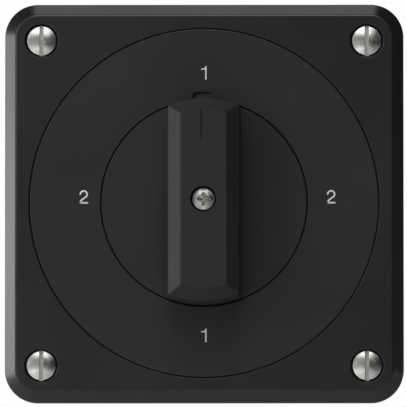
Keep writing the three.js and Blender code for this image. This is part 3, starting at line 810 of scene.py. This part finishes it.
def groove_section(along, depth):
    """A U across the groove: straight sides and a half-round bottom."""
    angle = np.linspace(0, -math.pi, 9)
    across = GROOVE_MIDDLE + GROOVE_HALF * np.cos(angle)
    height = CREST - depth + GROOVE_HALF * (1 + np.sin(angle))
    low = np.column_stack([across, np.full(9, along), height])
    top = [(across[end], along, CREST + 1) for end in (-1, 0)]
    return np.concatenate([low, top])


groove = np.stack(
    [
        groove_section(crest_reach - GROOVE_LENGTH, GROOVE_START_DEPTH),
        groove_section(crest_reach, GROOVE_DEPTH),
        groove_section(KNOB_RADIUS, GROOVE_DEPTH),
    ]
)
groove_tool = build("groove", [groove], [(groove[0],), (groove[-1],)])
fit(carved("knob moulding", knob_mesh, groove_tool), knob_plastic, "knob")

# ============ screws
# Polished stainless pan-head screws with rolled threads: four slotted ones that hold the plate to the
# panel, a small cross-recessed one in the knob's well, and four long ones that tie the case together.

# Worked metal: two close tones in clouds, gloss that drifts with them, and fine drawn-out scratches.
scratches = (0.12, 3, (1, 1, 0.12))  # stretched along the up axis
worked = surface("worked metal", (1.6, 3), (0.35, 0.7), (1.6, 3), (0.3, 0.75), scratches)


def worked_metal(name, colour, other, roughness, spread, scratch_mm):
    """A bare metal under the worked metal group."""
    material, shader = finished(name, worked, colour, other, roughness, spread, scratch_mm)
    shader.inputs["Metallic"].default_value = 1.0
    return material


stainless = worked_metal("polished stainless", (0.84, 0.83, 0.8), (0.78, 0.77, 0.74), 0.25, 0.05, 0.0015)
SHANK_STEPS = 36


def threaded(core, crest, pitch, start, end, per_turn=8, fade=0.8):
    """A screw thread: the radius at a height and angle is the core's plus a rounded ridge, which
    follows height over pitch less the angle over a full turn, and dies away at both ends."""
    rows = int((end - start) / pitch * per_turn)
    height = np.linspace(start, end, rows)[:, None]
    angle = np.linspace(0, 2 * np.pi, SHANK_STEPS, endpoint=False)[None]
    phase = height / pitch - angle / (2 * np.pi)
    ridge = 0.5 + 0.5 * np.cos(2 * np.pi * phase)
    swell, fall = (np.clip(gap / (fade * pitch), 0, 1) for gap in (height - start, end - height))
    radius = core + (crest - core) * (ridge**0.8) * swell * fall
    return np.stack(
        [radius * np.cos(angle), radius * np.sin(angle), np.broadcast_to(height, radius.shape)], axis=-1
    )


def screw_mesh(tip, seat, head_profile, core, crest, pitch, thread_end):
    """A closed turned screw along the axis: blunt tip, threaded shank, plain neck and head."""
    start = turned([(0, tip), (core * 0.75, tip), (core, tip + 0.35)], SHANK_STEPS)
    shank = threaded(core, crest, pitch, tip + 0.35, thread_end)
    plain = crest * 0.96
    neck = turned([(core, thread_end), (plain, thread_end + 0.15), (plain, seat)], SHANK_STEPS)
    head = turned(head_profile, SHANK_STEPS * 2)
    return build("blank", [start, shank, neck, head], [(head[0], neck[-1])], sharp=40)


def pan_head(radius, seat, top, side, dome, edge, rounding=0.3):
    """A pan head's outline: flat under, straight side, rounded shoulder, and a dome to the middle."""
    across = np.linspace(1, 0, 9)[1:]
    shoulder = filleted(
        [
            (radius * 0.6, seat),
            (radius, seat),
            (radius, seat + side),
            (radius - edge, top - dome),
            (radius - edge - 0.4, top - 0.8 * dome),
        ],
        [0, 0.08, rounding, rounding, 0],
        5,
        0.03,
    )
    last = shoulder[-1, 0]
    crown = np.column_stack([last * across, top - (top - shoulder[-1, 1]) * across**2])
    return np.concatenate([shoulder, crown])


def box_tool(x, y, z):
    """A box between limits across, up and forward."""
    corners = np.array([(x[0], y[0]), (x[1], y[0]), (x[1], y[1]), (x[0], y[1])])
    grid = np.stack([raised(corners, height) for height in z])
    return build("tool", [grid], [(grid[0],), (grid[1],)])


def moved(mesh, x, y, z=0.0, flip=False):
    """The mesh carried to a place across, up and forward; flipped, it looks backwards first."""
    points = np.empty(len(mesh.vertices) * 3)
    mesh.vertices.foreach_get("co", points)
    points = points.reshape(-1, 3)
    if flip:
        points = points * (1, -1, -1)
    points = points + np.array([x, -z, y]) / 1000
    mesh.vertices.foreach_set("co", points.ravel())
    mesh.update()
    return mesh


corner_low, corner_high = span("corner_screw_1")
CORNER_TOP = corner_high[2]
CORNER_SEAT = CORNER_TOP - 2.1
CORNER_HEAD = pan_head(3.5, CORNER_SEAT, CORNER_TOP, side=1.1, dome=0.42, edge=0.16, rounding=0.1)
SLOT_HALF, SLOT_REACH, SLOT_DEPTH = 0.5, 4.5, 1.05
milled = worked_metal("milled stainless", (0.64, 0.64, 0.59), (0.5, 0.5, 0.45), 0.55, 0.06, 0.012)
for number, (x, y) in enumerate(corner_places, 1):
    plain = screw_mesh(
        tip=corner_low[2],
        seat=CORNER_SEAT,
        head_profile=CORNER_HEAD,
        core=1.4,
        crest=1.74,
        pitch=0.6,
        thread_end=CORNER_SEAT - 2.0,
    )
    slot_heights = (CORNER_TOP - SLOT_DEPTH, CORNER_TOP + 1)
    slot = box_tool((-SLOT_HALF, SLOT_HALF), (-SLOT_REACH, SLOT_REACH), slot_heights)
    mesh = carved(f"corner screw {number} body", plain, slot)
    fit(moved(mesh, x, y), stainless, f"corner_screw_{number}")
    mesh.materials.append(milled)
    centres = np.empty(len(mesh.polygons) * 3)
    mesh.polygons.foreach_get("center", centres)
    across, back, _ = centres.reshape(-1, 3).T * 1000
    in_slot = (np.abs(across - x) < SLOT_HALF + 0.001) & (-back > CORNER_SEAT)
    mesh.polygons.foreach_set("material_index", in_slot.astype(np.int32))


def cross_tool(top, reach, half, depth):
    """Two crossed wings that narrow towards the bottom of the recess."""
    wing = np.array([(reach, -0.8 * half), (reach, 0.8 * half), (1.5 * half, 1.5 * half)])
    sections = [(0.15, top - depth), (0.55, top - depth * 0.6), (1.15, top + 0.2)]
    grid = np.stack([raised(four_times(wing) * scale, height) for scale, height in sections])
    return build("tool", [grid], [(grid[0],), (grid[-1],)])


KNOB_SCREW_TOP = screw_high[2]
knob_screw_head = pan_head(
    2.6, SCREW_SEAT, KNOB_SCREW_TOP, side=1.25, dome=0.36, edge=0.08, rounding=0.06
)
plain = screw_mesh(
    tip=screw_low[2],
    seat=SCREW_SEAT,
    head_profile=knob_screw_head,
    core=1.2,
    crest=1.48,
    pitch=0.5,
    thread_end=SCREW_SEAT - 0.8,
)
recess = cross_tool(KNOB_SCREW_TOP, reach=1.6, half=0.4, depth=1.3)
worn = worked_metal("worn stainless", (0.72, 0.72, 0.7), (0.5, 0.5, 0.49), 0.3, 0.14, 0.012)
fit(carved("knob screw body", plain, recess), worn, "knob_screw")

tie_low, tie_high = span("tie_screw_1")
TIE_HEAD = 2.2
TIE_LENGTH = tie_high[2] - tie_low[2] - TIE_HEAD
TIE_THREAD = 9  # the threaded length
for number, (x, y) in enumerate(tie_places, 1):
    plain = screw_mesh(
        tip=-TIE_LENGTH,
        seat=0.0,
        head_profile=pan_head(3.2, 0.0, TIE_HEAD, side=1.2, dome=0.3, edge=0.6),
        core=1.4,
        crest=1.73,
        pitch=0.7,
        thread_end=TIE_THREAD - TIE_LENGTH,
    )
    recess = cross_tool(TIE_HEAD, reach=1.7, half=0.42, depth=1.5)
    mesh = carved(f"tie screw {number} body", plain, recess)
    fit(moved(mesh, x, y, tie_low[2] + TIE_HEAD, flip=True), stainless, f"tie_screw_{number}")

# ============ flange gasket
# The pad that seals the plate to the panel, die-cut from a sheet of closed-cell rubber foam: its cut
# bubbles pit the surface, and its holes let the screws and the mechanism through.


def softened(name, node, material, width, sharp=30):
    """A copy of a CAD node whose shape is right: its triangles merged, its flat faces joined, and
    every edge sharper than an angle rounded by a bevel, width millimetres wide."""
    mesh = frame["nodes"][node].data.copy()
    mesh.name = name
    closed(mesh, sharp)
    work = bmesh.new()
    work.from_mesh(mesh)
    bmesh.ops.dissolve_limit(work, angle_limit=math.radians(1), verts=work.verts, edges=work.edges)
    work.to_mesh(mesh)
    work.free()
    mesh.shade_smooth()
    mesh.set_sharp_from_angle(angle=math.radians(sharp))
    piece = fit(mesh, material, node)
    edges = piece.modifiers.new("rounded edges", "BEVEL")
    edges.width, edges.segments = width / 1000, 2
    edges.limit_method, edges.angle_limit = "ANGLE", math.radians(sharp)


foam, tree, shader = principled("closed-cell foam")
cells = tree.nodes.new("ShaderNodeTexVoronoi")
cells.inputs["Scale"].default_value = 1000 / 0.45
place = tree.nodes.new("ShaderNodeTexCoord")
tree.links.new(place.outputs["Object"], cells.inputs["Vector"])
pits = ranged(tree, cells.outputs["Distance"], 0.05, 0.45)
tone = blended(tree, pits, (0.006, 0.006, 0.006, 1), (0.026, 0.026, 0.027, 1))
tree.links.new(tone, shader.inputs["Base Color"])
shader.inputs["Roughness"].default_value = 0.88
shader.inputs["Specular IOR Level"].default_value = 0.3
bump(tree, shader, pits, 0.06)

softened("gasket pad", "flange_gasket", foam, 0.2)

# ============ mechanism housing and rim seal
# A cup of glass-filled nylon that carries the spindle in its neck; its flange is trapped between the
# plate's ledge and the panel. A soft ring in its rim keeps water out of the joint with the base.

nylon = moulded("glass-filled nylon", (0.021, 0.021, 0.022), (0.045, 0.045, 0.046), 0.52, 0.1, 0.014)
softened("housing cup", "mechanism_housing", nylon, 0.35)


def rubber(name, colour, roughness, grain_mm):
    """A moulded rubber: dark, matt, with a little bloom in patches."""
    material, tree, shader = principled(name)
    patches = noise(tree, 3.5, 4)
    pale = tuple(2.2 * value for value in colour)
    bloom = ranged(tree, patches, 0.45, 0.8)
    tree.links.new(blended(tree, bloom, (*colour, 1), (*pale, 1)), shader.inputs["Base Color"])
    shader.inputs["Roughness"].default_value = roughness
    bump(tree, shader, noise(tree, 0.18, 3), grain_mm)
    return material


silicone = rubber("silicone rubber", (0.011, 0.0115, 0.012), 0.58, 0.008)


def hoop(name, profile, steps=96, sharp=40):
    """A ring: a closed outline of radius and height turned about the axis."""
    return build(name, [turned(np.concatenate([profile, profile[:1]]), steps)], sharp=sharp)


def squared(inner, outer, low, high, radii):
    """The outline of a flat ring, with an arc at each of its four corners from the inside back."""
    return filleted([(inner, low), (outer, low), (outer, high), (inner, high)], radii, 4, 0.05)


rim_low, rim_high = span("rim_seal")
HOUSING_OUTSIDE, RIM_WALL, RIM_SETBACK = span("contact_base")[1][0], 2.4, 0.1
rim_inner, rim_outer = HOUSING_OUTSIDE - RIM_WALL + RIM_SETBACK, HOUSING_OUTSIDE - RIM_SETBACK
rim_outline = squared(rim_inner, rim_outer, rim_low[2], rim_high[2], [0.3] * 4)
fit(hoop("rim ring", rim_outline), silicone, "rim_seal")

# ============ spindle, bush, washer and seal ring
# A spindle turned from stainless bar with a square milled at each end. It runs in a sintered bronze
# bush, with a bronze washer under its collar and a nitrile ring in front that keeps water out.

spindle_steel = worked_metal("turned stainless", (0.6, 0.59, 0.56), (0.52, 0.51, 0.49), 0.24, 0.06, 0.003)
softened("spindle bar", "spindle", spindle_steel, 0.18)

bronze = worked_metal("sintered bronze", (0.5, 0.3, 0.13), (0.34, 0.19, 0.08), 0.42, 0.1, 0.012)
bush_low, bush_high = span("spindle_bush")
JOURNAL, BUSH_WALL = 5.08, 1.6
bush_outline = squared(JOURNAL, JOURNAL + BUSH_WALL, bush_low[2], bush_high[2], [0.35, 0.25, 0.25, 0.35])
fit(hoop("bush ring", bush_outline, 64), bronze, "spindle_bush")
softened("washer ring", "thrust_washer", bronze, 0.08)

nitrile = rubber("nitrile rubber", (0.009, 0.009, 0.009), 0.45, 0.004)
seal_low, seal_high = span("spindle_seal")
SEAL_SECTION = (seal_high[2] - seal_low[2]) / 2
seal_middle = (seal_high[0] - SEAL_SECTION, (seal_low[2] + seal_high[2]) / 2)
seal_outline = circle(SEAL_SECTION, 20, seal_middle)
fit(hoop("seal ring", seal_outline, 72, sharp=80), nitrile, "spindle_seal")

# ============ detent
# A wheel with four valleys, moulded in acetal and driven by the spindle's square, and two leaf springs
# of blued steel whose bumps drop into opposite valleys at each position.

acetal = moulded("natural acetal", (0.66, 0.63, 0.55), (0.58, 0.55, 0.47), 0.38, 0.06, 0.005)
softened("detent wheel", "star_wheel", acetal, 0.3)
blued = worked_metal("blued spring steel", (0.2, 0.2, 0.22), (0.12, 0.12, 0.15), 0.28, 0.06, 0.002)
softened("right leaf", "detent_spring_right", blued, 0.06)
softened("left leaf", "detent_spring_left", blued, 0.06)

# ============ rotor carrier, bridge and springs
# An acetal carrier on the spindle's rear square holds a copper bar, which two coil springs of music
# wire press against the stud heads. The bar slides in a slot, and the springs in pockets in its floor.

softened("rotor carrier body", "rotor_carrier", acetal, 0.35)
copper = worked_metal("bright copper", (0.76, 0.36, 0.22), (0.5, 0.22, 0.13), 0.26, 0.1, 0.003)
softened("bridge bar", "contact_bridge", copper, 0.3)

music_wire = worked_metal("music wire", (0.42, 0.42, 0.41), (0.34, 0.34, 0.34), 0.22, 0.05, 0.002)
WIRE, TURNS = 0.45, 4.5


def coil(name, node, steps_per_turn=28, sides=10):
    """A wire's circle carried along a helix: its centre turns about the spring's axis at the coil's
    radius while it climbs, and the circle stands square to the path."""
    low, high = span(node)
    axis = (low[:2] + high[:2]) / 2
    reach = (high[0] - low[0]) / 2 - WIRE
    bottom, top = low[2] + WIRE, high[2] - WIRE
    t = np.linspace(0, 1, int(TURNS * steps_per_turn) + 1)[:, None]
    angle = 2 * np.pi * TURNS * t
    outward = np.concatenate([np.cos(angle), np.sin(angle), 0 * t], axis=1)
    centre = outward * reach
    centre[:, :2] += axis
    centre[:, 2:] += bottom + (top - bottom) * t
    climb = np.full(t.shape, (top - bottom) / (2 * np.pi * TURNS * reach))
    along = np.concatenate([-np.sin(angle), np.cos(angle), climb], axis=1)
    along /= np.linalg.norm(along, axis=1)[:, None]
    upright = np.cross(outward, along)
    turn = np.linspace(0, 2 * np.pi, sides, endpoint=False)[None, :, None]
    grid = centre[:, None] + WIRE * (np.cos(turn) * outward[:, None] + np.sin(turn) * upright[:, None])
    return build(name, [grid], [(grid[0],), (grid[-1],)], sharp=60)


for side in ("upper", "lower"):
    node = "contact_spring_" + side
    spring = fit(coil(side + " coil", node), music_wire, node)
    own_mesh(spring)

# ============ contact base
# A disc of brown phenolic, pressed in a heated mould, with hexagonal seats for the stud heads in front
# and three walls behind that keep the cable lugs apart.

phenolic = moulded("brown phenolic", (0.05, 0.022, 0.013), (0.078, 0.036, 0.021), 0.42, 0.12, 0.01)
softened("base disc", "contact_base", phenolic, 0.35)

# ============ terminals
# Four M8 studs of tinned brass pressed into the base from inside, each with a plain washer, a split
# lock washer and a hexagon nut; a copper link joins the two studs of the common side.

tinned = worked_metal("tinned brass", (0.63, 0.61, 0.56), (0.5, 0.47, 0.39), 0.3, 0.08, 0.003)
STUD_NAMES = ["common_b", "bank_1", "bank_2", "common_a"]
STUD_CREST, STUD_CORE, STUD_PITCH = 3.95, 3.38, 1.25
HEX_ACROSS, HEX_FACE = 13.0, 0.965  # across the flats, and the turned face's share of that


def hexagon_radius(angle, across):
    """The distance to a hexagon's sides at each angle, with corners above and below."""
    sector = np.pi / 3
    return across / 2 / np.cos((angle + sector / 2) % sector - sector / 2)


def hexagon_block(low, high, both_ends, steps=96):
    """The wall of a hexagon whose high end, or both ends, are turned to a cone: at each angle the cone
    starts where it meets the hexagon's side."""
    angle = np.linspace(0, 2 * np.pi, steps, endpoint=False)
    side = hexagon_radius(angle, HEX_ACROSS)
    face = np.full(steps, HEX_ACROSS / 2 * HEX_FACE)
    fall = (side - face) * math.tan(math.radians(30))
    rows = [(face, low + 0 * fall), (side, low + fall)] if both_ends else [(side, low + 0 * fall)]
    rows += [(side, high - fall), (face, high + 0 * fall)]
    return np.stack([np.column_stack([r * np.cos(angle), r * np.sin(angle), z]) for r, z in rows])


def stud(name, place, node):
    """A hexagon head inside the base, a plain shank through it, and a rolled thread to the tip."""
    low, high = span(node)
    end, head_back = low[2], high[2] - 2.9
    shank = head_back - 3.2
    head = hexagon_block(head_back, high[2], both_ends=False)
    tip = turned([(0, end), (STUD_CORE * 0.86, end), (STUD_CORE, end + 0.5)], SHANK_STEPS)
    thread = threaded(STUD_CORE, STUD_CREST, STUD_PITCH, end + 0.5, shank)
    neck_profile = [(STUD_CORE, shank), (STUD_CREST, shank + 0.3), (STUD_CREST, head_back)]
    neck = turned(neck_profile, SHANK_STEPS)
    mesh = build(name, [tip, thread, neck, head], [(head[0], neck[-1]), (head[-1],)], sharp=40)
    fit(moved(mesh, *place), tinned, node)


def plain_washer(name, place, node):
    """A punched ring: one side's edges rolled over by the punch, the other's left nearly sharp."""
    low, high = span(node)
    outline = squared(4.15, (high[0] - low[0]) / 2, low[2], high[2], [0.1, 0.35, 0.12, 0.3])
    fit(moved(hoop(name, outline, 72), *place), stainless, node)


def lock_washer(name, place, node, rise=0.35, steps=72):
    """A square section carried round from one side of the split to the other, climbing as it goes; the
    split's sides are parallel, so each radius starts at the angle whose height is half the split."""
    low, high = span(node)
    half_split, reach = 0.8, 7.4
    section = squared(4.2, reach, low[2], high[2] - rise, [0.2] * 4)
    start = np.arcsin(half_split / section[:, 0])[None]
    t = np.linspace(0, 1, steps)[:, None]
    angle = start + t * (2 * np.pi - 2 * start)
    radius = np.broadcast_to(section[:, 0], angle.shape)
    height = section[:, 1] + rise * t
    grid = np.stack([radius * np.cos(angle), radius * np.sin(angle), height], axis=-1)
    mesh = build(name, [grid], [(grid[0],), (grid[-1],)])
    fit(moved(mesh, *place), music_wire, node)


def hexagon_nut(name, place, node):
    """A hexagon nut, turned to a cone at both ends, with a countersunk hole."""
    low, high = span(node)
    back, front = low[2], high[2]
    outside = hexagon_block(back, front, both_ends=True)
    hole, sink = 4.12, 0.45
    hole_profile = [(hole + sink, back), (hole, back + sink), (hole, front - sink), (hole + sink, front)]
    inside = turned(hole_profile, 48)
    mesh = build(name, [outside, inside], [(outside[0], inside[0]), (outside[-1], inside[-1])], sharp=25)
    fit(moved(mesh, *place), stainless, node)


stud_places = [middle(f"stud_{name}") for name in STUD_NAMES]
for name, place in zip(STUD_NAMES, stud_places):
    words = name.replace("_", " ")
    stud(f"threaded stud {words}", place, f"stud_{name}")
    plain_washer(f"flat washer {words}", place, f"washer_{name}")
    lock_washer(f"split washer {words}", place, f"lock_washer_{name}")
    hexagon_nut(f"hexagon nut {words}", place, f"nut_{name}")

link_low, link_high = span("link_bar")
LINK_HALF_WIDTH = 7.5
link_ends = np.array([stud_places[0], stud_places[3]])
link_middle = link_ends.mean(axis=0)
link_span = np.linalg.norm(link_ends[1] - link_ends[0])
link_along = (link_ends[1] - link_ends[0]) / link_span


def link_outline(inset):
    """Two half circles about the holes, joined by straight sides."""
    radius = LINK_HALF_WIDTH - inset
    bend = np.linspace(-np.pi / 2, np.pi / 2, 25)
    end = np.column_stack([link_span / 2 + radius * np.cos(bend), radius * np.sin(bend)])
    flat = np.concatenate([end, -end])
    return link_middle + flat @ np.array([link_along, (-link_along[1], link_along[0])])


def rounded_through(outline_at, inset, low, high, radius):
    """A wall from one face to the other with its edges rounded; insets grow into the solid."""
    profile = [(inset + 0.5, low), (inset, low), (inset, high), (inset + 0.5, high)]
    return wall(outline_at, filleted(profile, [0, radius, radius, 0], 4, 0.05))


link_side = rounded_through(link_outline, 0, link_low[2], link_high[2], 0.3)
link_holes = [
    rounded_through(lambda radius: circle(radius, 48, place), 4.15, link_low[2], link_high[2], 0.25)
    for place in link_ends
]
link_mesh = build(
    "copper link",
    [link_side, *link_holes],
    [(link_side[end], *(hole[end] for hole in link_holes)) for end in (0, -1)],
)
fit(link_mesh, copper, "link_bar")
